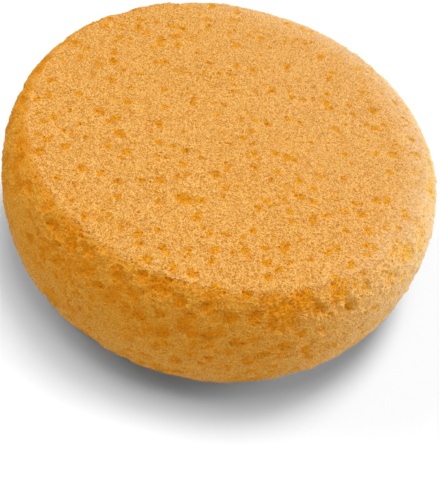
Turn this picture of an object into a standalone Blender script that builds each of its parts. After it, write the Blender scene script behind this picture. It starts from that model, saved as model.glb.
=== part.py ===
"""A round makeup sponge of open-cell foam, in metres: one soft disc with flat faces, a rounded
side and open pores. It rests on Z = 0 with its axis on +Z."""

import math
import random
from functools import partial

import bmesh
import bpy
from mathutils import Matrix, Vector

# The disc
SPONGE_DIAMETER = 0.075
SPONGE_THICKNESS = 0.025
SIDE_BULGE = 0.0045  # how far the rounded side stands out past the flat faces
SIDE_FULLNESS = 1.8  # exponent of the side's curve: 2 is an ellipse, more is squarer

# The large open pores, as the radius and depth of the largest and the mean distance between two
FACE_PORE_RADIUS = 0.0012
FACE_PORE_DEPTH = 0.0014
FACE_PORE_PITCH = 0.0062
SIDE_PORE_RADIUS = 0.0015
SIDE_PORE_DEPTH = 0.0021
SIDE_PORE_PITCH = 0.0076
PORE_WALL = 0.0004  # the least foam between two pores
FACE_CENTRE_CLEAR = 0.004  # the middle of each face stays whole this far out
PORE_OVERRUN = 0.0007  # how far a pore's cutter stands out of the foam

# The pores that stand out on the upper face: each one's place along X and Y, as shares of the
# flat face's radius, and its size as a share of the largest
UPPER_FACE_PORE_SHARES = (
    (-0.69, 0.26, 0.90), (-0.49, 0.53, 0.80), (-0.63, 0.57, 0.75), (0.02, 0.48, 0.65),
    (0.15, 0.35, 0.85), (0.44, 0.43, 0.80), (0.47, 0.32, 0.65), (-0.21, 0.43, 0.60),
    (-0.43, 0.35, 0.65), (-0.36, 0.02, 0.60), (0.26, 0.16, 0.70), (0.32, 0.15, 0.60),
    (0.56, 0.23, 0.60), (0.67, 0.27, 0.60), (-0.23, 0.09, 0.60), (0.45, 0.62, 0.60),
    (-0.66, -0.13, 0.80), (-0.61, -0.17, 0.65), (-0.79, -0.18, 0.60), (-0.53, -0.24, 0.75),
    (-0.85, -0.25, 0.65), (-0.58, -0.27, 0.75), (-0.20, -0.25, 0.95), (-0.12, -0.27, 0.60),
    (-0.78, -0.32, 0.60), (-0.67, -0.33, 0.65), (-0.47, -0.36, 0.65), (-0.32, -0.33, 0.65),
    (-0.02, -0.35, 0.75), (-0.20, -0.43, 0.60), (-0.27, -0.48, 0.70), (-0.35, -0.51, 0.65),
    (-0.63, -0.53, 0.80), (-0.54, -0.53, 0.60), (-0.45, -0.55, 0.60), (-0.15, -0.55, 1.00),
    (-0.11, -0.60, 0.80), (-0.43, -0.64, 0.75), (-0.06, -0.64, 0.65), (-0.62, -0.73, 0.60),
    (-0.27, -0.87, 0.80), (-0.17, -0.86, 0.85), (-0.22, -0.94, 0.75), (-0.01, -0.96, 0.75),
    (-0.35, -0.13, 0.60), (0.11, -0.09, 0.60), (0.13, -0.15, 0.65), (0.33, -0.12, 0.65),
    (0.14, -0.24, 0.75), (0.37, -0.25, 0.70), (0.76, -0.25, 0.75), (0.58, -0.17, 0.60),
    (0.65, -0.31, 0.65), (0.39, -0.36, 0.80), (0.46, -0.37, 0.70), (0.69, -0.37, 0.70),
    (0.35, -0.41, 0.65), (0.24, -0.43, 0.60), (0.53, -0.43, 0.75), (0.87, -0.40, 0.60),
    (0.20, -0.49, 0.65), (0.62, -0.50, 0.65), (0.73, -0.55, 0.70), (0.59, -0.62, 0.75),
    (0.20, -0.64, 0.75), (0.35, -0.68, 0.75), (0.09, -0.70, 0.65), (0.01, -0.71, 0.65),
    (0.18, -0.76, 0.95), (0.35, -0.82, 0.65), (0.05, -0.87, 0.60), (0.30, -0.88, 0.65),
)
# The same round the side: the turn from +X in degrees, the height over the middle plane as a
# share of half the thickness, and the size as a share of the largest
SIDE_PORE_SHARES = (
    (-77, 0.98, 0.80), (-74, 0.77, 1.00), (-59, 0.77, 0.95), (-80, 0.72, 0.75),
    (-50, 0.65, 0.80), (-129, 0.79, 0.90), (-122, 0.81, 0.90), (-108, 0.79, 0.80),
    (-92, 0.79, 0.80), (-86, 0.80, 0.70), (-96, 0.58, 0.80), (-106, 0.60, 0.90),
    (-111, 0.56, 0.70), (-89, 0.65, 0.80), (-94, 0.30, 1.00), (-84, 0.41, 0.90),
    (-100, 0.41, 0.80), (-124, 0.42, 0.90), (-120, 0.34, 0.75), (-78, 0.37, 0.70),
    (-66, 0.27, 0.80), (-60, 0.12, 0.70), (-70, 0.14, 0.80), (-71, -0.29, 0.80),
    (-102, 0.92, 0.70), (-54, 0.97, 0.65), (-134, 0.29, 0.80),
)

# How fine the mesh is, and the bend between two facets from which their edge is shaded sharp
SIDE_COLUMNS = 72
SIDE_ROWS = 12
PORE_CORNERS = 6
SHARP_ANGLE = math.radians(24)

# Shares of a pore's own radius and depth
SMALLEST_PORE_SHARE = 0.6
LONGEST_PORE_SHARE = 1.35
CORNER_WANDER_SHARE = 0.14
WAIST_RADIUS_SHARE = 0.82
WAIST_DEPTH_SHARE = 0.6

PORE_SEED = 7
PORE_CANDIDATES = 5  # random places drawn for each pore, of which the emptiest is taken
TRIES_PER_PORE = 6

FOAM_COLOUR = (0.80, 0.38, 0.09, 1.0)
FOAM_ROUGHNESS = 0.95

# Worked out from the sizes above
HALF_THICKNESS = SPONGE_THICKNESS / 2
FACE_RADIUS = SPONGE_DIAMETER / 2 - SIDE_BULGE


def clear_scene():
    for thing in list(bpy.data.objects):
        bpy.data.objects.remove(thing, do_unlink=True)


def foam_material():
    material = bpy.data.materials.new("foam")
    material.use_nodes = True
    shader = material.node_tree.nodes["Principled BSDF"]
    shader.inputs["Base Color"].default_value = FOAM_COLOUR
    shader.inputs["Roughness"].default_value = FOAM_ROUGHNESS
    shader.inputs["Metallic"].default_value = 0.0
    material.diffuse_color = FOAM_COLOUR
    return material


def add_object(name, bm, material):
    mesh = bpy.data.meshes.new(name)
    bm.to_mesh(mesh)
    bm.free()
    mesh.materials.append(material)
    made = bpy.data.objects.new(name, mesh)
    bpy.context.collection.objects.link(made)
    return made


def side_radius(height):
    """The disc's radius at a height above its middle plane, along the side's superellipse."""
    level = min(abs(height) / HALF_THICKNESS, 1)
    return FACE_RADIUS + SIDE_BULGE * (1 - level**SIDE_FULLNESS) ** (1 / SIDE_FULLNESS)


def side_normal(height):
    """(outward, upward) of the side's superellipse at that height, not yet of unit length."""
    power = SIDE_FULLNESS - 1
    outward = ((side_radius(height) - FACE_RADIUS) / SIDE_BULGE) ** power / SIDE_BULGE
    upward = (abs(height) / HALF_THICKNESS) ** power / HALF_THICKNESS
    return outward, math.copysign(upward, height)


def side_profile():
    """The side's outline in the XZ plane, from the upper face's rim down to the lower one's."""
    outline = []
    for row in range(SIDE_ROWS + 1):
        turn = math.pi * (0.5 - row / SIDE_ROWS)
        level = abs(math.sin(turn)) ** (2 / SIDE_FULLNESS)
        height = math.copysign(level * HALF_THICKNESS, turn)
        outline.append(Vector((side_radius(height), 0, HALF_THICKNESS + height)))
    return outline


def turned_disc():
    """The disc without its pores: the side turned round the axis, and one flat face at each end."""
    bm = bmesh.new()
    corners = [bm.verts.new(point) for point in side_profile()]
    edges = [bm.edges.new(pair) for pair in zip(corners, corners[1:])]
    bmesh.ops.spin(
        bm,
        geom=corners + edges,
        cent=Vector((0, 0, 0)),
        axis=Vector((0, 0, 1)),
        angle=math.tau,
        steps=SIDE_COLUMNS,
        use_merge=True,
    )
    rims = [edge for edge in bm.edges if edge.is_boundary]
    bmesh.ops.holes_fill(bm, edges=rims, sides=0)
    bmesh.ops.recalc_face_normals(bm, faces=bm.faces)
    return bm


def face_point(across, along, upward):
    """The point of a flat face at those shares of its radius, with the face's normal."""
    height = HALF_THICKNESS + upward * HALF_THICKNESS
    return Vector((across * FACE_RADIUS, along * FACE_RADIUS, height)), Vector((0, 0, upward))


def side_point(turn, level):
    """The side's point at that turn from +X and share of half the thickness, with its normal."""
    height = level * HALF_THICKNESS
    around = Vector((math.cos(turn), math.sin(turn), 0))
    outward, upward = side_normal(height)
    point = around * side_radius(height) + Vector((0, 0, HALF_THICKNESS + height))
    return point, (around * outward + Vector((0, 0, upward))).normalized()


def random_face_point(rng, upward):
    clear_share = FACE_CENTRE_CLEAR / FACE_RADIUS
    out = math.sqrt(clear_share**2 + (1 - clear_share**2) * rng.random())
    turn = math.tau * rng.random()
    return face_point(out * math.cos(turn), out * math.sin(turn), upward)


def random_side_point(rng):
    return side_point(math.tau * rng.random(), 2 * rng.random() - 1)


def room_at(point, pores):
    """The distance from a point to the nearest pore's mouth."""
    return min(((point - other[0]).length - other[2] for other in pores), default=math.inf)


def add_pore(pores, place, radius, depth):
    """Adds a pore if it keeps a wall of foam to every pore placed before it."""
    point, normal = place
    fits = room_at(point, pores) > radius + PORE_WALL
    if fits:
        pores.append((point, normal, radius, depth))
    return fits


def scatter(rng, pores, wanted, pick, radius, depth):
    """Adds the wanted number of pores, as far as there is room, at random places and sizes."""
    for _ in range(wanted * TRIES_PER_PORE):
        places = [pick(rng) for _ in range(PORE_CANDIDATES)]
        emptiest = max(places, key=lambda place: room_at(place[0], pores))
        size = SMALLEST_PORE_SHARE + (1 - SMALLEST_PORE_SHARE) * rng.random() ** 2
        wanted -= add_pore(pores, emptiest, size * radius, size * depth)
        if wanted == 0:
            return


def pore_places():
    """(point, normal, radius, depth) of every large pore, on both faces and round the side."""
    pores = []
    for degrees, level, size in SIDE_PORE_SHARES:
        place = side_point(math.radians(degrees), level)
        add_pore(pores, place, size * SIDE_PORE_RADIUS, size * SIDE_PORE_DEPTH)
    for across, along, size in UPPER_FACE_PORE_SHARES:
        place = face_point(across, along, 1)
        add_pore(pores, place, size * FACE_PORE_RADIUS, size * FACE_PORE_DEPTH)
    rng = random.Random(PORE_SEED)
    side_area = math.pi * SPONGE_DIAMETER * SPONGE_THICKNESS
    on_side = round(side_area / SIDE_PORE_PITCH**2) - len(SIDE_PORE_SHARES)
    scatter(rng, pores, on_side, random_side_point, SIDE_PORE_RADIUS, SIDE_PORE_DEPTH)
    on_face = round(math.pi * FACE_RADIUS**2 / FACE_PORE_PITCH**2)
    for upward, wanted in ((1, on_face - len(UPPER_FACE_PORE_SHARES)), (-1, on_face)):
        pick = partial(random_face_point, upward=upward)
        scatter(rng, pores, wanted, pick, FACE_PORE_RADIUS, FACE_PORE_DEPTH)
    return pores


def pore_ring(bm, frame, radii, stretch, height):
    """One ring of a pore's cutter, uneven and longer one way, at a height over the foam."""
    ring = []
    for corner, radius in enumerate(radii):
        turn = math.tau * corner / PORE_CORNERS
        across = Vector((stretch * math.cos(turn), math.sin(turn) / stretch, 0)) * radius
        ring.append(bm.verts.new(frame @ (across + Vector((0, 0, height)))))
    return ring


def add_pore_cutter(bm, rng, point, normal, radius, depth):
    """A closed bowl with its mouth outside the foam and its tip at the pore's depth."""
    facing = normal.to_track_quat("Z", "Y").to_matrix().to_4x4()
    frame = Matrix.Translation(point) @ facing @ Matrix.Rotation(math.tau * rng.random(), 4, "Z")
    stretch = math.sqrt(1 + (LONGEST_PORE_SHARE - 1) * rng.random())
    radii = [
        radius / LONGEST_PORE_SHARE * (1 + CORNER_WANDER_SHARE * (2 * rng.random() - 1))
        for _ in range(PORE_CORNERS)
    ]
    waist_radii = [WAIST_RADIUS_SHARE * width for width in radii]
    mouth = pore_ring(bm, frame, radii, stretch, PORE_OVERRUN)
    waist = pore_ring(bm, frame, waist_radii, stretch, -WAIST_DEPTH_SHARE * depth)
    tip = bm.verts.new(frame @ Vector((0, 0, -depth)))
    bm.faces.new(mouth)
    for a in range(PORE_CORNERS):
        b = (a + 1) % PORE_CORNERS
        bm.faces.new((mouth[b], mouth[a], waist[a], waist[b]))
        bm.faces.new((waist[b], waist[a], tip))


def pore_cutters():
    bm = bmesh.new()
    rng = random.Random(PORE_SEED)
    for point, normal, radius, depth in pore_places():
        add_pore_cutter(bm, rng, point, normal, radius, depth)
    bmesh.ops.recalc_face_normals(bm, faces=bm.faces)
    return bm


def cut_pores(body, cutters):
    cutters.hide_render = True
    cutters.display_type = "WIRE"
    cut = body.modifiers.new("open_pores", "BOOLEAN")
    cut.operation = "DIFFERENCE"
    cut.solver = "EXACT"
    cut.object = cutters
    even = body.modifiers.new("even_triangles", "TRIANGULATE")
    even.quad_method = "BEAUTY"
    even.ngon_method = "BEAUTY"


def build_sponge():
    foam = foam_material()
    body = add_object("foam_body", turned_disc(), foam)
    body.data.shade_smooth()
    body.data.set_sharp_from_angle(angle=SHARP_ANGLE)
    cut_pores(body, add_object("pore_cutters", pore_cutters(), foam))


clear_scene()
build_sponge()
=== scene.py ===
import math

import bpy
import numpy as np
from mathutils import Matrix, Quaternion, Vector


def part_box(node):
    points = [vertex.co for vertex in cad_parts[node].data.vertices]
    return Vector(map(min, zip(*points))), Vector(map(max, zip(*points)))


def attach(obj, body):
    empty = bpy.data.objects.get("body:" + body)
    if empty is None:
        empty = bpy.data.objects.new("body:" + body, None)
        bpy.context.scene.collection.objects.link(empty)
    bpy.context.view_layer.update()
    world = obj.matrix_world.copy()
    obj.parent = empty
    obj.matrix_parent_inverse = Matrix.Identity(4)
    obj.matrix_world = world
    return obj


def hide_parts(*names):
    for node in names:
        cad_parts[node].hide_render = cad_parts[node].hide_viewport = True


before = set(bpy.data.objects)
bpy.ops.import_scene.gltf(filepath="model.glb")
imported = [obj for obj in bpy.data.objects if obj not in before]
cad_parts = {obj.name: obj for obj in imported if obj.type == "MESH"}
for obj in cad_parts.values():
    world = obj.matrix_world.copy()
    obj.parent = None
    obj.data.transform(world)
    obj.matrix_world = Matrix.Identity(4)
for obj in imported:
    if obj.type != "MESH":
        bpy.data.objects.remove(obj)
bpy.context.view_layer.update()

# The piece of foam, and the solid that it stands for
FOAM_PIECE = "sponge_foam"
FOAM_NODE = "foam_body"
FOAM_BODY = "root"

# The disc's profile and its large pores' waist, which are the solid's own
SIDE_FULLNESS = 1.8
WAIST_RADIUS_SHARE = 0.82
FLAT_TOLERANCE = 0.00001

# The mesh: the distance between neighbouring points, how many points each ring of a flat face has
# more than the ring inside it, and how finely the side's profile is measured
POINT_SPACING = 0.000118
RING_GROWTH = 6
PROFILE_STEPS = 4000

# Fine cells of the foam
CELL_PITCH = 0.00045
CELL_DEPTH = 0.0003
CELL_OPEN_SHARE = 0.4
CELL_LEAST_DEPTH_SHARE = 0.3
CELL_SEED = 11

# Large pores, which are at the solid's places, but shallower and wider and with ragged outlines
PORE_REACH_SHARE = 2
PORE_LEAST_DEPTH = 0.0006
PORE_FLOOR_POWER = 1.3
PORE_DEPTH_SHARE = 0.24
PORE_WIDTH_SHARE = 1.3
RAGGED_SHARE = 0.75
RAGGED_PITCH = 0.0011
RAGGED_LAYERS = 2
RAGGED_SEED = 23

# Small pores between them
SMALL_PORE_PITCH = 0.0024
SMALL_PORE_CHANCE_SHARE = 0.8
SMALL_PORE_RADIUS = 0.00042
SMALL_PORE_EXTRA_RADIUS = 0.0005
SMALL_PORE_DEPTH = 0.00015
SMALL_PORE_CHANCE_SEED = 37
SMALL_PORE_SIZE_SEED = 38
SMALL_RAGGED_PITCH = RAGGED_PITCH / 2
SMALL_RAGGED_SEED = 24

# Soft orange patches, slightly sunk. Where they start and how strong they are goes by the level,
# which is how far the foam faces up or down: 0 on the side's waist and 1 on the flat faces
PATCH_PITCH = 0.0026
PATCH_LAYERS = 4
PATCH_DEPTH = 0.0003
PATCH_SOFTNESS_SHARE = 0.3
PATCH_LEVEL_SHARES = (0.0, 0.25, 0.5, 0.9, 1.0)
PATCH_START_SHARES = (0.48, 0.45, 0.4, 0.43, 0.52)
PATCH_STRENGTH_SHARES = (0.7, 0.9, 1.0, 0.9, 0.5)
PATCH_SEED = 71

# Slow unevenness of the whole surface
UNEVEN_DEPTH = 0.0002
UNEVEN_PITCH = 0.0065
UNEVEN_SEED = 51

# The rough cut, which is deepest on the side. The side first stands out a little, to make up for
# what the cut takes off, and this ends between two levels
CUT_DEPTH = 0.00042
CUT_POWER = 2.5
CUT_PITCH = 0.00085
CUT_LAYERS = 2
CUT_SEED = 53
CUT_LEVEL_SHARES = (0.5, 1)
CUT_FACE_SHARE = 0.25
SIDE_OUTSET = 0.00048
SIDE_LEVEL_SHARES = (0.3, 0.95)

# Painted light: the foam is paler towards the direction the light comes from, given as a turn from +Y
# towards +X: much paler on the side and the rim, where the light catches them, and a little on the flat
# faces.
# The first pair are places along that direction, the second ones outward from the axis, both as shares
# of the radius
PAINTED_LIGHT_TURN = math.radians(58)
PAINTED_LIGHT_TOWARDS_SHARES = (-0.2, 1)
PAINTED_LIGHT_RIM_SHARES = (0.72, 1)
PAINTED_LIGHT_SIDE_SHARE = 0.76
PAINTED_LIGHT_FACE_SHARE = 0.085
PAINTED_LIGHT_PORE_FADE_SHARE = 0.6

# Painted shade: the side, which the light reaches less, is tinted a deeper amber, which ends between two
# levels, and fades down the side and towards the direction of the painted light
PAINTED_SHADE_LEVEL_SHARES = (0.7, 1)
PAINTED_SHADE_FALL_SHARES = (0.25, 0.85)
PAINTED_SHADE_FALL_FADE_SHARE = 0.6
PAINTED_SHADE_TOWARDS_SHARES = (-0.6, 0.35)
PAINTED_SHADE_TOWARDS_FADE_SHARE = 0.55

# Numbers that mix the bits of a hashed place, what its bits are shared into, and how many points
# are worked on at a time
PLACE_MIXERS = (73856093, 19349663, 83492791)
SEED_MIXER = 2654435761
BIT_MIXERS = (0x7FEB352D, 0x846CA68B)
HALF_BITS = 16
WHOLE_RANGE = 4294967296.0
JITTER_BITS = 10
JITTER_RANGE = 1023
POINTS_AT_ONCE = 120000

# Detail in the material that is finer than the mesh holds: a grain, and thin struts. The ranges
# are the part of a pattern's own values that counts
GRAIN_PITCH = 0.0002
GRAIN_DETAIL = 2.0
GRAIN_RANGE_SHARES = (0.35, 0.65)
STRUT_PITCH = 0.00034
STRUT_WIDTH_SHARE = 0.2
BLOTCH_PITCH = 0.0013
BLOTCH_DETAIL = 3.0
BLOTCH_RANGE_SHARES = (0.45, 0.75)
BLOTCH_SHARE = 0.35

# The bump of that detail
FINE_RELIEF = 0.0001
BUMP_SHARE = 0.7
STRUT_RISE_SHARE = 0.5
GRAIN_RISE_SHARE = -0.6

# How open the foam is at a place: what the mesh's cells, the grain and the struts add to it, and
# the range over which the colour goes from the struts' to the cells'
HOLLOW_FULL_SHARE = 0.8
HOLLOW_OPEN_SHARE = 0.36
GRAIN_OPEN_SHARE = 0.85
STRUT_OPEN_SHARE = -0.35
OPEN_RANGE_SHARES = (-0.1, 0.9)

# The painted shade is deeper in cells and pores than on struts, and softens the contrast between them
PAINTED_SHADE_PORE_SHARE = 0.8
PAINTED_SHADE_RANGE_SHARES = (-0.1, 1.46)
PAINTED_SHADE_GAIN_SHARES = (0.75, 1.25)
PAINTED_SHADE_SOFT_SHARE = 0.25

# Colours of the foam, as linear red, green and blue, and its gloss
STRUT_COLOUR = (0.965, 0.575, 0.182, 1.0)
CELL_COLOUR = (0.65, 0.25, 0.015, 1.0)
# Painted light: the pale cream that the light gives the rim and side towards one direction
PAINTED_LIGHT_COLOUR = (0.97, 0.78, 0.54, 1.0)
PORE_TINT = (0.975, 0.77, 0.1, 1.0)
PORE_TINT_GAIN = 1.5
# Painted shade: the deeper amber tint of the shaded side
PAINTED_SHADE_TINT = (1.0, 0.86, 0.28, 1.0)
FOAM_ROUGHNESS = 0.65
FOAM_SPECULAR_LEVEL = 0.1

# Rays of bounced light that come from farther off than this see the foam as dark, so that the
# floor stays neutral
OWN_BOUNCE_REACH = 0.001
UNLIT_COLOUR = (0.03, 0.03, 0.03, 1.0)

# The sockets of a Mix node for colours: its share and its two colours, and its result
MIX_INPUTS = (0, 6, 7)
MIX_OUTPUT = 2

# Camera, from fitting the disc's outline to the photograph
CAMERA_PLACE = (0.0, -0.10356, 0.11850)
CAMERA_AIM = (0.00277, -0.01624, 0.0125)
CAMERA_ROLL = math.radians(15.61)
CAMERA_LENS = 60.25
CAMERA_NEAR = 0.001
SENSOR_WIDTH = 36.0

# Light: each lamp's name, strength and softness, and where it shines from, as degrees from +Y
# towards +X and degrees upward
LAMPS = (
    ("key", 1.3, 20, 16, 68),
    ("overhead", 1.03, 26, 0, 84),
    ("left_fill", 1.25, 40, -70, 33),
    ("front_fill", 2.25, 40, 180, 5),
    ("right_fill", 2.6, 30, 70, 10),
)
WORLD_COLOUR = (1.0, 1.0, 1.0, 1.0)
WORLD_STRENGTH = 0.03
WORLD_SEEN_STRENGTH = 1.0

# The floor, as it is seen and as bounced light sees it
FLOOR_SIZE = 6.0
FLOOR_COLOUR = (0.99, 0.99, 0.99, 1.0)
FLOOR_BOUNCE_COLOUR = (0.4, 0.4, 0.4, 1.0)
FLOOR_ROUGHNESS = 1.0


# Repeatable noise

def hashed(x, y, z, seed):
    """A repeatable 32-bit number for each whole-numbered place."""
    mixed = x * np.uint32(PLACE_MIXERS[0])
    mixed ^= y * np.uint32(PLACE_MIXERS[1])
    mixed ^= z * np.uint32(PLACE_MIXERS[2])
    mixed ^= np.uint32(seed * SEED_MIXER % int(WHOLE_RANGE))
    for mixer in BIT_MIXERS:
        mixed ^= mixed >> np.uint32(HALF_BITS)
        mixed *= np.uint32(mixer)
    mixed ^= mixed >> np.uint32(HALF_BITS)
    return mixed


def as_share(number):
    return (number / WHOLE_RANGE).astype(np.float32)


def owner_share(owner, seed):
    """A share from 0 to 1 for each cell's number, the same wherever that cell is met."""
    return as_share(hashed(owner, owner, owner, seed))


def whole_places(points, pitch):
    """Each point's place in a grid of that pitch, as three whole numbers and three shares."""
    scaled = points / pitch
    low = np.floor(scaled)
    return low.astype(np.int64), (scaled - low).astype(np.float32)


def in_parts(points, work):
    """Runs work on a part of the points at a time, to bound the memory, and joins what it gives."""
    made = [work(points[i:i + POINTS_AT_ONCE]) for i in range(0, len(points), POINTS_AT_ONCE)]
    return [np.concatenate(column) for column in zip(*made)]


def nearest_cells(points, pitch, seed):
    """Distances to the nearest and second nearest cell centre, in pitches, and the nearest's number."""

    def work(part):
        low, share = whole_places(part, pitch)
        nearest = np.full(len(part), np.inf, np.float32)
        second = nearest.copy()
        owner = np.zeros(len(part), np.uint32)
        for step in np.ndindex(3, 3, 3):
            step = np.array(step) - 1
            place = (low + step).astype(np.uint32)
            number = hashed(*place.T, seed)
            distance = np.zeros(len(part), np.float32)
            for axis in range(3):
                bits = number >> np.uint32(JITTER_BITS * axis) & np.uint32(JITTER_RANGE)
                jitter = bits / np.float32(JITTER_RANGE)
                distance += (step[axis] + jitter - share[:, axis]) ** 2
            closer = distance < nearest
            second = np.where(closer, nearest, np.minimum(second, distance))
            owner = np.where(closer, number, owner)
            nearest = np.minimum(nearest, distance)
        return np.sqrt(nearest), np.sqrt(second), owner

    return in_parts(points, work)


def smoothed(share):
    """The share, with a level start at 0 and a level end at 1."""
    return share * share * (3 - 2 * share)


def eased(values, low, high):
    """0 below low, 1 above high, and a smooth rise between them."""
    return smoothed(np.clip((values - low) / (high - low), 0, 1))


def smooth_noise(points, pitch, seed):
    """Noise from 0 to 1 that changes smoothly over that pitch."""

    def work(part):
        low, share = whole_places(part, pitch)
        share = smoothed(share)
        total = np.zeros(len(part), np.float32)
        for step in np.ndindex(2, 2, 2):
            place = (low + step).astype(np.uint32)
            weight = np.prod(np.where(step, share, 1 - share), axis=1)
            total += weight * as_share(hashed(*place.T, seed))
        return (total,)

    return in_parts(points, work)[0]


def layered_noise(points, pitch, layers, seed):
    """Noise from 0 to 1 in layers, each half as wide and half as strong as the one before."""
    strengths = [0.5 ** layer for layer in range(layers)]
    total = sum(
        smooth_noise(points, pitch * strength, seed + layer) * strength
        for layer, strength in enumerate(strengths)
    )
    return total / sum(strengths)


# The plain disc

def mesh_arrays(mesh):
    """Places of a mesh's points and the pairs that its edges join, with doubled points joined."""
    places = np.zeros(len(mesh.vertices) * 3, np.float32)
    mesh.vertices.foreach_get("co", places)
    places = places.reshape(-1, 3).astype(float)
    edges = np.zeros(len(mesh.edges) * 2, np.int32)
    mesh.edges.foreach_get("vertices", edges)
    whole = np.round(places / FLAT_TOLERANCE).astype(np.int64)
    _, first, same = np.unique(whole, axis=0, return_index=True, return_inverse=True)
    return places[first], same.reshape(-1)[edges.reshape(-1, 2)]


class Disc:
    """The disc's nominal shape: two flat faces and a side with a superellipse as its profile."""

    def __init__(self, node):
        low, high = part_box(FOAM_NODE)
        places, edges = mesh_arrays(node.data)
        self.places = places
        self.edges = edges
        self.radius = (high.x - low.x) / 2
        self.half = (high.z - low.z) / 2
        self.middle = (high.z + low.z) / 2
        on_top = places[:, 2] > high.z - FLAT_TOLERANCE
        self.face_radius = np.hypot(places[on_top, 0], places[on_top, 1]).max()
        self.bulge = self.radius - self.face_radius

    def side_radius(self, height):
        level = np.clip(np.abs(height - self.middle) / self.half, 0, 1)
        return self.face_radius + self.bulge * (1 - level ** SIDE_FULLNESS) ** (1 / SIDE_FULLNESS)

    def depth_inside(self, places):
        """How far places lie inside the nominal surface."""
        under_face = self.half - np.abs(places[:, 2] - self.middle)
        under_side = self.side_radius(places[:, 2]) - np.hypot(places[:, 0], places[:, 1])
        return np.minimum(under_face, under_side)

    def side_profile(self, rows):
        """Radius, height and outward direction of evenly spaced points down the side, and its length."""
        turn = np.linspace(0, math.pi, PROFILE_STEPS + 1)
        power = 2 / SIDE_FULLNESS
        radius = self.face_radius + self.bulge * np.sin(turn) ** power
        height = self.middle + self.half * np.sign(np.cos(turn)) * np.abs(np.cos(turn)) ** power
        run = np.concatenate([[0], np.cumsum(np.hypot(np.diff(radius), np.diff(height)))])
        at = np.linspace(0, run[-1], rows + 1)
        radius, height = np.interp(at, run, radius), np.interp(at, run, height)
        outward = np.stack([-np.gradient(height), np.gradient(radius)], axis=1)
        outward /= np.linalg.norm(outward, axis=1)[:, None]
        outward[0] = (0, 1)
        outward[-1] = (0, -1)
        return radius, height, outward, run[-1]


def ring_disc(rings, radius):
    """A flat disc of evenly spaced rings of points: (x, y) places, and triangles that face up."""
    places = [np.zeros((1, 2))]
    triangles = []
    start = 0
    for ring in range(1, rings + 1):
        count = RING_GROWTH * ring
        angle = np.arange(count) * 2 * math.pi / count
        ring_radius = radius * ring / rings
        places.append(ring_radius * np.stack([np.cos(angle), np.sin(angle)], axis=1))
        inner_count = max(1, RING_GROWTH * (ring - 1))
        outer = start + inner_count
        sector, along = np.divmod(np.arange(count), ring)
        first = outer + np.arange(count)
        after = outer + (np.arange(count) + 1) % count
        inner = start + (sector * (ring - 1) + along) % inner_count
        triangles.append(np.stack([first, after, inner], axis=1))
        between = along < ring - 1
        inner_after = start + (sector * (ring - 1) + along + 1) % inner_count
        triangles.append(np.stack([after, inner_after, inner], axis=1)[between])
        start = outer
    return np.concatenate(places), np.concatenate(triangles)


def side_points(rows, columns, profile):
    """Places and outward directions in rows down the side, each second row half a column further."""
    radius, height, outward = profile
    row, column = np.divmod(np.arange((rows + 1) * columns), columns)
    angle = (column + 0.5 * (row % 2)) * 2 * math.pi / columns
    around = np.stack([np.cos(angle), np.sin(angle)], axis=1)
    places = np.concatenate([around * radius[row][:, None], height[row][:, None]], axis=1)
    directions = np.concatenate([around * outward[row][:, :1], outward[row][:, 1:]], axis=1)
    return places, directions


def side_strip(rows, columns):
    """The side's triangles, as the (row, column) of each corner."""
    row, column = np.divmod(np.arange(rows * columns), columns)
    odd = (row % 2)[:, None, None]
    upper_left, upper_right = (row, column), (row, column + 1)
    lower_left, lower_right = (row + 1, column), (row + 1, column + 1)

    def corners(*picked):
        return np.stack([np.stack(corner, axis=1) for corner in picked], axis=1)

    first_even = corners(upper_left, lower_left, upper_right)
    first_odd = corners(upper_left, lower_left, lower_right)
    second_even = corners(upper_right, lower_left, lower_right)
    second_odd = corners(upper_left, lower_right, upper_right)
    first = np.where(odd, first_odd, first_even)
    second = np.where(odd, second_odd, second_even)
    return np.concatenate([first, second])


def disc_map(disc, face_corners, strip, side_length, gap):
    """The map: two flat discs side by side, and above them the side, unrolled in two strips."""
    rows, columns = strip.max(axis=(0, 1))
    row, column = strip[:, :, 0], strip[:, :, 1]
    whole = 4 * disc.face_radius + 3 * gap
    face_map = face_corners + disc.face_radius + gap
    low_map = face_map[:, ::-1] + (2 * disc.face_radius + gap, 0)

    # Each strip takes half the columns, and is two wider for its shifted rows and its end
    half_turn = column.min(axis=1) >= columns // 2
    strip_column = column + 0.5 * (row % 2) - np.where(half_turn, columns // 2, 0)[:, None]
    column_width = (whole - 2 * gap) / (columns / 2 + 2)
    strip_start = 2 * disc.face_radius + 2 * gap + np.where(half_turn, side_length + gap, 0)
    strip_x = gap + strip_column * column_width
    strip_y = strip_start[:, None] + row * side_length / rows
    side_map = np.stack([strip_x, strip_y], axis=2)
    return np.concatenate([face_map, side_map, low_map]) / whole


def disc_mesh(disc, spacing):
    """Places, outward directions, triangles and map of a closed, evenly fine mesh on the disc."""
    rings = round(disc.face_radius / spacing)
    columns = RING_GROWTH * rings
    row_height = spacing * math.sqrt(3) / 2
    *_, side_length = disc.side_profile(2)
    rows = 2 * round(side_length / row_height / 2)
    *profile, side_length = disc.side_profile(rows)
    side_places, side_directions = side_points(rows, columns, profile)
    strip = side_strip(rows, columns)
    flat, flat_triangles = ring_disc(rings, disc.face_radius)
    inside = len(flat) - columns

    # Points run: the upper face's inside, the side from top to bottom, the lower face's inside
    top_places = np.concatenate([flat[:inside], np.full((inside, 1), disc.middle + disc.half)], axis=1)
    low_places = top_places.copy()
    low_places[:, 2] = disc.middle - disc.half
    places = np.concatenate([top_places, side_places, low_places])
    up = np.tile((0.0, 0.0, 1.0), (inside, 1))
    directions = np.concatenate([up, side_directions, -up])

    side_triangles = strip[:, :, 0] * columns + strip[:, :, 1] % columns + inside
    low_rim_start = inside + rows * columns
    low_start = low_rim_start + columns
    low = flat_triangles[:, ::-1]
    low_triangles = np.where(low < inside, low + low_start, low - inside + low_rim_start)
    triangles = np.concatenate([flat_triangles, side_triangles, low_triangles])
    corner_map = disc_map(disc, flat[flat_triangles], strip, side_length, 2 * spacing)
    return places, directions, triangles, corner_map


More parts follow.
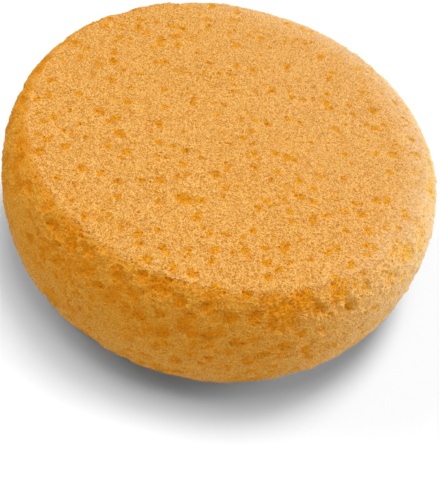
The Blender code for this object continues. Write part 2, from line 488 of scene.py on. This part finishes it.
def point_normals(places, triangles):
    """Outward direction at each point, as the mean of its triangles'."""
    corner = places[triangles]
    facing = np.cross(corner[:, 1] - corner[:, 0], corner[:, 2] - corner[:, 0])
    total = np.zeros_like(places)
    for axis in range(3):
        for corner_number in range(3):
            total[:, axis] += np.bincount(triangles[:, corner_number], facing[:, axis], len(places))
    return total / np.linalg.norm(total, axis=1)[:, None]


# Pores, patches and cells

def solid_pores(disc):
    """Each pore of the solid: its mouth's centre and two directions, its depth, and its outline's
    angles and radii."""
    depth = disc.depth_inside(disc.places)
    first, second = disc.edges.T
    deepest_near = np.zeros(len(depth))
    np.maximum.at(deepest_near, first, depth[second])
    np.maximum.at(deepest_near, second, depth[first])
    tips = np.flatnonzero((depth > deepest_near) & (depth > PORE_LEAST_DEPTH))
    pores = []
    for tip in tips:
        near = np.concatenate([second[first == tip], first[second == tip]])
        ring = disc.places[np.unique(near)]
        spread = np.linalg.svd(ring - ring.mean(axis=0))[2]
        outward = spread[2]
        if outward @ (ring.mean(axis=0) - disc.places[tip]) < 0:
            outward = -outward
        along, beside = spread[0], np.cross(outward, spread[0])
        mouth = disc.places[tip] + outward * depth[tip]
        flat = np.stack([(ring - mouth) @ along, (ring - mouth) @ beside], axis=1)
        angles = np.arctan2(flat[:, 1], flat[:, 0])
        order = np.argsort(angles)
        radii = np.hypot(*flat.T)[order] / WAIST_RADIUS_SHARE
        pores.append((mouth, along, beside, depth[tip], angles[order], radii))
    return pores


def raggedness(noise):
    """How much an outline is stretched, around 1, for noise from 0 to 1."""
    return 1 + RAGGED_SHARE * 2 * (noise - 0.5)


def large_pore_hollow(places, pores):
    """How deep each place lies in a large pore, from 0 at its edge to 1, and how far that sinks it."""
    ragged = raggedness(layered_noise(places, RAGGED_PITCH, RAGGED_LAYERS, RAGGED_SEED))
    hollow = np.zeros(len(places))
    depth = np.zeros(len(places))
    for mouth, along, beside, pore_depth, angles, radii in pores:
        away = places - mouth
        near = np.flatnonzero(np.abs(away).max(axis=1) < radii.max() * PORE_REACH_SHARE)
        x, y = away[near] @ along, away[near] @ beside
        edge = np.interp(np.arctan2(y, x), angles, radii, period=2 * math.pi)
        out = np.hypot(x, y) * ragged[near] / (edge * PORE_WIDTH_SHARE)
        bowl = np.clip(1 - out ** 2, 0, 1) ** PORE_FLOOR_POWER
        hollow[near] = np.maximum(hollow[near], bowl)
        depth[near] = np.maximum(depth[near], bowl * pore_depth * PORE_DEPTH_SHARE)
    return hollow, depth


def small_pore_hollow(places):
    """How deep each place lies in a small pore, from 0 to 1."""
    nearest, _, owner = nearest_cells(places, SMALL_PORE_PITCH, SMALL_PORE_CHANCE_SEED)
    is_pore = owner_share(owner, SMALL_PORE_CHANCE_SEED) < SMALL_PORE_CHANCE_SHARE
    size = owner_share(owner, SMALL_PORE_SIZE_SEED)
    radius = SMALL_PORE_RADIUS + size * SMALL_PORE_EXTRA_RADIUS
    ragged = raggedness(smooth_noise(places, SMALL_RAGGED_PITCH, SMALL_RAGGED_SEED))
    out = nearest * SMALL_PORE_PITCH * ragged / radius
    return np.where(is_pore, np.clip(1 - out ** 2, 0, 1), 0)


def cell_hollow(places):
    """How deep each place lies in a fine cell, from 0 on a strut to 1 in a deep cell's middle."""
    nearest, second, owner = nearest_cells(places, CELL_PITCH, CELL_SEED)
    bowl = eased(1 - nearest / second, 0, CELL_OPEN_SHARE)
    return bowl * (CELL_LEAST_DEPTH_SHARE + (1 - CELL_LEAST_DEPTH_SHARE) * owner_share(owner, CELL_SEED))


def patch_hollow(places, level):
    """How deep each place lies in a soft patch, from 0 to 1."""
    start = np.interp(level, PATCH_LEVEL_SHARES, PATCH_START_SHARES)
    noise = layered_noise(places, PATCH_PITCH, PATCH_LAYERS, PATCH_SEED)
    strength = np.interp(level, PATCH_LEVEL_SHARES, PATCH_STRENGTH_SHARES)
    return eased((noise - start) / PATCH_SOFTNESS_SHARE, 0, 1) * strength


def side_share(level):
    """1 on the side, 0 on the flat faces, and a smooth change between them."""
    return 1 - eased(level, *SIDE_LEVEL_SHARES)


def inward_depth(places, level, large_depth, small, patches):
    """How far each place of the plain disc is moved inward, before the fine cells are sunk in it."""
    pitted = large_depth + small * SMALL_PORE_DEPTH + patches * PATCH_DEPTH
    uneven = smooth_noise(places, UNEVEN_PITCH, UNEVEN_SEED) * UNEVEN_DEPTH
    cut_depth = np.interp(level, CUT_LEVEL_SHARES, (CUT_DEPTH, CUT_DEPTH * CUT_FACE_SHARE))
    cut_noise = layered_noise(places, CUT_PITCH, CUT_LAYERS, CUT_SEED)
    cut = (1 - cut_noise ** CUT_POWER) * cut_depth
    return pitted + uneven + cut - side_share(level) * SIDE_OUTSET


def colour_shares(disc, places, level, pores, patches):
    """How orange the foam is at each place of the plain disc, and how much painted shade and painted
    light it gets there.
    """
    fall = (disc.middle + disc.half - places[:, 2]) / (2 * disc.half)
    towards = places[:, :2] @ (math.sin(PAINTED_LIGHT_TURN), math.cos(PAINTED_LIGHT_TURN)) / disc.radius
    outer = np.linalg.norm(places[:, :2], axis=1) / disc.radius
    # Painted light: paler on the rim and side, and a little on the faces, towards the direction the
    # light comes from
    rim = np.maximum(eased(outer, *PAINTED_LIGHT_RIM_SHARES), side_share(level))
    painted_light = PAINTED_LIGHT_FACE_SHARE + (PAINTED_LIGHT_SIDE_SHARE - PAINTED_LIGHT_FACE_SHARE) * rim
    painted_light = painted_light * eased(towards, *PAINTED_LIGHT_TOWARDS_SHARES)
    # Painted shade: a deeper amber on the side, less down the side and towards the painted light
    painted_shade = 1 - eased(level, *PAINTED_SHADE_LEVEL_SHARES)
    painted_shade = painted_shade * (1 - PAINTED_SHADE_FALL_FADE_SHARE * eased(fall, *PAINTED_SHADE_FALL_SHARES))
    painted_shade = painted_shade * (1 - PAINTED_SHADE_TOWARDS_FADE_SHARE * eased(towards, *PAINTED_SHADE_TOWARDS_SHARES))
    orange = np.maximum(np.minimum(PORE_TINT_GAIN * pores, 1), patches)
    return {
        "orange_share": orange * (1 - painted_light * PAINTED_LIGHT_PORE_FADE_SHARE),
        "painted_shade_share": painted_shade * (1 - painted_light),
        "painted_light_share": painted_light,
    }


# The foam

def foam_mesh(places, triangles, corner_map, shares):
    """The mesh with its map, and with each named share as a number at every point."""
    mesh = bpy.data.meshes.new(FOAM_PIECE)
    mesh.vertices.add(len(places))
    mesh.vertices.foreach_set("co", places.astype(np.float32).ravel())
    mesh.loops.add(triangles.size)
    mesh.loops.foreach_set("vertex_index", triangles.astype(np.int32).ravel())
    mesh.polygons.add(len(triangles))
    mesh.polygons.foreach_set("loop_start", np.arange(0, triangles.size, 3, dtype=np.int32))
    mesh.update(calc_edges=True)
    mesh.shade_smooth()
    corners = mesh.uv_layers.new(name="OFBake")
    corners.uv.foreach_set("vector", corner_map.astype(np.float32).ravel())
    for name, values in shares.items():
        layer = mesh.attributes.new(name, "FLOAT", "POINT")
        layer.data.foreach_set("value", values.astype(np.float32))
    mesh.validate()
    return mesh


def foam_object(node):
    """The sponge: the plain disc, pitted with patches, large and small pores and fine cells."""
    disc = Disc(node)
    spacing = POINT_SPACING
    places, directions, triangles, corner_map = disc_mesh(disc, spacing)
    level = np.abs(directions[:, 2])
    large, large_depth = large_pore_hollow(places, solid_pores(disc))
    small = small_pore_hollow(places)
    patches = patch_hollow(places, level)
    shares = colour_shares(disc, places, level, np.maximum(large, small), patches)
    inward = inward_depth(places, level, large_depth, small, patches)
    places = places - directions * inward[:, None]
    cells = cell_hollow(places)
    shares["cell_hollow"] = cells
    directions = point_normals(places, triangles)
    places = places - directions * (cells * CELL_DEPTH)[:, None]
    sponge = bpy.data.objects.new(FOAM_PIECE, foam_mesh(places, triangles, corner_map, shares))
    bpy.context.scene.collection.objects.link(sponge)
    return sponge


class Nodes:
    """Adds nodes to a tree. A value is a number, a colour or a socket, and each result is a socket."""

    def __init__(self, tree):
        self.tree = tree

    def added(self, kind, **settings):
        node = self.tree.nodes.new(kind)
        for name, value in settings.items():
            setattr(node, name, value)
        return node

    def feed(self, socket, value):
        if isinstance(value, bpy.types.NodeSocket):
            self.tree.links.new(value, socket)
        else:
            socket.default_value = value

    def feed_all(self, node, values):
        for name, value in values.items():
            self.feed(node.inputs[name], value)

    def mixed(self, share, first, second, blend="MIX"):
        node = self.added("ShaderNodeMix", data_type="RGBA", blend_type=blend)
        self.feed_all(node, dict(zip(MIX_INPUTS, (share, first, second))))
        return node.outputs[MIX_OUTPUT]

    def tinted(self, share, colour, tint):
        return self.mixed(share, colour, tint, "MULTIPLY")

    def ranged(self, value, low, high, to_low=0.0, to_high=1.0):
        """The value's place between low and high, carried over to the second pair and kept in it."""
        node = self.added("ShaderNodeMapRange")
        self.feed_all(node, {"Value": value, "From Min": low, "From Max": high})
        self.feed_all(node, {"To Min": to_low, "To Max": to_high})
        return node.outputs["Result"]

    def maths(self, operation, first, second):
        node = self.added("ShaderNodeMath", operation=operation)
        self.feed_all(node, {0: first, 1: second})
        return node.outputs[0]

    def weighed(self, *parts):
        """The sum of the parts, each given with its weight."""
        weighted = [self.maths("MULTIPLY", value, weight) for value, weight in parts]
        total = weighted[0]
        for part in weighted[1:]:
            total = self.maths("ADD", total, part)
        return total

    def attribute(self, name):
        return self.added("ShaderNodeAttribute", attribute_name=name).outputs["Fac"]

    def noise(self, place, pitch, detail):
        node = self.added("ShaderNodeTexNoise")
        self.feed_all(node, {"Vector": place, "Scale": 1 / pitch, "Detail": detail})
        return node.outputs["Fac"]

    def strut_distance(self, place, pitch):
        node = self.added("ShaderNodeTexVoronoi", feature="DISTANCE_TO_EDGE")
        self.feed_all(node, {"Vector": place, "Scale": 1 / pitch})
        return node.outputs["Distance"]

    def bounced_from_afar(self):
        """1 on rays of bounced light that have come farther than the reach, and 0 on others."""
        paths = self.added("ShaderNodeLightPath").outputs
        from_afar = self.maths("GREATER_THAN", paths["Ray Length"], OWN_BOUNCE_REACH)
        return self.maths("MULTIPLY", from_afar, paths["Is Diffuse Ray"])

    def seen_directly(self):
        """1 on camera, glossy and transmission rays, which see the background, and 0 on others."""
        paths = self.added("ShaderNodeLightPath").outputs
        seen = self.maths("MAXIMUM", paths["Is Camera Ray"], paths["Is Glossy Ray"])
        return self.maths("MAXIMUM", seen, paths["Is Transmission Ray"])


def foam_material():
    """Pale struts, deeper cells, orange pores, painted shade in amber on the side and painted light
    towards one direction, with a grain finer than the mesh.
    """
    material = bpy.data.materials.new("foam_cells")
    material.use_nodes = True
    shader = material.node_tree.nodes["Principled BSDF"]
    shader.inputs["Roughness"].default_value = FOAM_ROUGHNESS
    shader.inputs["Specular IOR Level"].default_value = FOAM_SPECULAR_LEVEL
    nodes = Nodes(material.node_tree)
    place = nodes.added("ShaderNodeTexCoord").outputs["Object"]
    orange_share = nodes.attribute("orange_share")
    painted_shade_share = nodes.attribute("painted_shade_share")

    # How open the foam is
    grain = nodes.ranged(nodes.noise(place, GRAIN_PITCH, GRAIN_DETAIL), *GRAIN_RANGE_SHARES)
    strut = nodes.ranged(nodes.strut_distance(place, STRUT_PITCH), 0.0, STRUT_WIDTH_SHARE, 1.0, 0.0)
    hollow = nodes.ranged(nodes.attribute("cell_hollow"), 0.0, HOLLOW_FULL_SHARE)
    open_share = nodes.weighed(
        (grain, GRAIN_OPEN_SHARE), (strut, STRUT_OPEN_SHARE), (hollow, HOLLOW_OPEN_SHARE)
    )

    # Struts and cells, with painted light making them paler in one direction
    softer = nodes.maths("MULTIPLY", painted_shade_share, PAINTED_SHADE_SOFT_SHARE)
    softer_end = nodes.maths("SUBTRACT", 1.0, softer)
    cell_share = nodes.ranged(open_share, *OPEN_RANGE_SHARES, softer, softer_end)
    cells = nodes.mixed(cell_share, STRUT_COLOUR, CELL_COLOUR)
    painted_light_cells = nodes.mixed(nodes.attribute("painted_light_share"), cells, PAINTED_LIGHT_COLOUR)

    # Orange pores, patches and blotches
    blotch_noise = nodes.noise(place, BLOTCH_PITCH, BLOTCH_DETAIL)
    blotch = nodes.ranged(blotch_noise, *BLOTCH_RANGE_SHARES, 0.0, BLOTCH_SHARE)
    orange = nodes.tinted(nodes.maths("MAXIMUM", orange_share, blotch), painted_light_cells, PORE_TINT)

    # Painted shade: the side tinted a deeper amber, more in cells and pores
    pore_depth = nodes.maths("MULTIPLY", orange_share, PAINTED_SHADE_PORE_SHARE)
    depth = nodes.maths("ADD", open_share, pore_depth)
    painted_shade_gain = nodes.ranged(depth, *PAINTED_SHADE_RANGE_SHARES, *PAINTED_SHADE_GAIN_SHARES)
    foam = nodes.tinted(nodes.maths("MULTIPLY", painted_shade_share, painted_shade_gain), orange, PAINTED_SHADE_TINT)
    nodes.feed(shader.inputs["Base Color"], nodes.mixed(nodes.bounced_from_afar(), foam, UNLIT_COLOUR))

    height = nodes.weighed((strut, STRUT_RISE_SHARE), (grain, GRAIN_RISE_SHARE))
    bump = nodes.added("ShaderNodeBump")
    nodes.feed_all(bump, {"Strength": BUMP_SHARE, "Distance": FINE_RELIEF, "Height": height})
    nodes.feed(shader.inputs["Normal"], bump.outputs["Normal"])
    return material


# Ground, light and camera

def white_ground():
    bpy.ops.mesh.primitive_plane_add(size=FLOOR_SIZE)
    floor = bpy.context.object
    floor.name = "floor"
    material = bpy.data.materials.new("floor")
    material.use_nodes = True
    shader = material.node_tree.nodes["Principled BSDF"]
    shader.inputs["Roughness"].default_value = FLOOR_ROUGHNESS
    shader.inputs["Specular IOR Level"].default_value = 0.0
    nodes = Nodes(material.node_tree)
    colour = nodes.mixed(nodes.seen_directly(), FLOOR_BOUNCE_COLOUR, FLOOR_COLOUR)
    nodes.feed(shader.inputs["Base Color"], colour)
    floor.data.materials.append(material)


def studio_light():
    world = bpy.data.worlds.new("studio")
    bpy.context.scene.world = world
    world.use_nodes = True
    nodes = Nodes(world.node_tree)
    strength = nodes.ranged(nodes.seen_directly(), 0.0, 1.0, WORLD_STRENGTH, WORLD_SEEN_STRENGTH)
    background = world.node_tree.nodes["Background"]
    nodes.feed_all(background, {"Color": WORLD_COLOUR, "Strength": strength})

    for name, energy, softness, turn, rise in LAMPS:
        lamp = bpy.data.lights.new(name, "SUN")
        lamp.energy = energy
        lamp.angle = math.radians(softness)
        shining = bpy.data.objects.new(name, lamp)
        shining.rotation_mode = "XYZ"
        shining.rotation_euler = (math.radians(rise - 90), 0, -math.radians(turn))
        bpy.context.scene.collection.objects.link(shining)


def photo_camera():
    data = bpy.data.cameras.new("camera")
    data.lens = CAMERA_LENS
    data.sensor_width = SENSOR_WIDTH
    data.clip_start = CAMERA_NEAR
    camera = bpy.data.objects.new("camera", data)
    camera.location = CAMERA_PLACE
    level = (Vector(CAMERA_AIM) - Vector(CAMERA_PLACE)).to_track_quat("-Z", "Y")
    camera.rotation_mode = "QUATERNION"
    camera.rotation_quaternion = level @ Quaternion((0, 0, 1), CAMERA_ROLL)
    bpy.context.scene.collection.objects.link(camera)
    bpy.context.scene.camera = camera


def main():
    photo_camera()
    studio_light()
    white_ground()
    sponge = foam_object(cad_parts[FOAM_NODE])
    sponge.data.materials.append(foam_material())
    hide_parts(FOAM_NODE)
    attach(sponge, FOAM_BODY)
    bpy.context.scene.view_settings.view_transform = "Standard"


main()
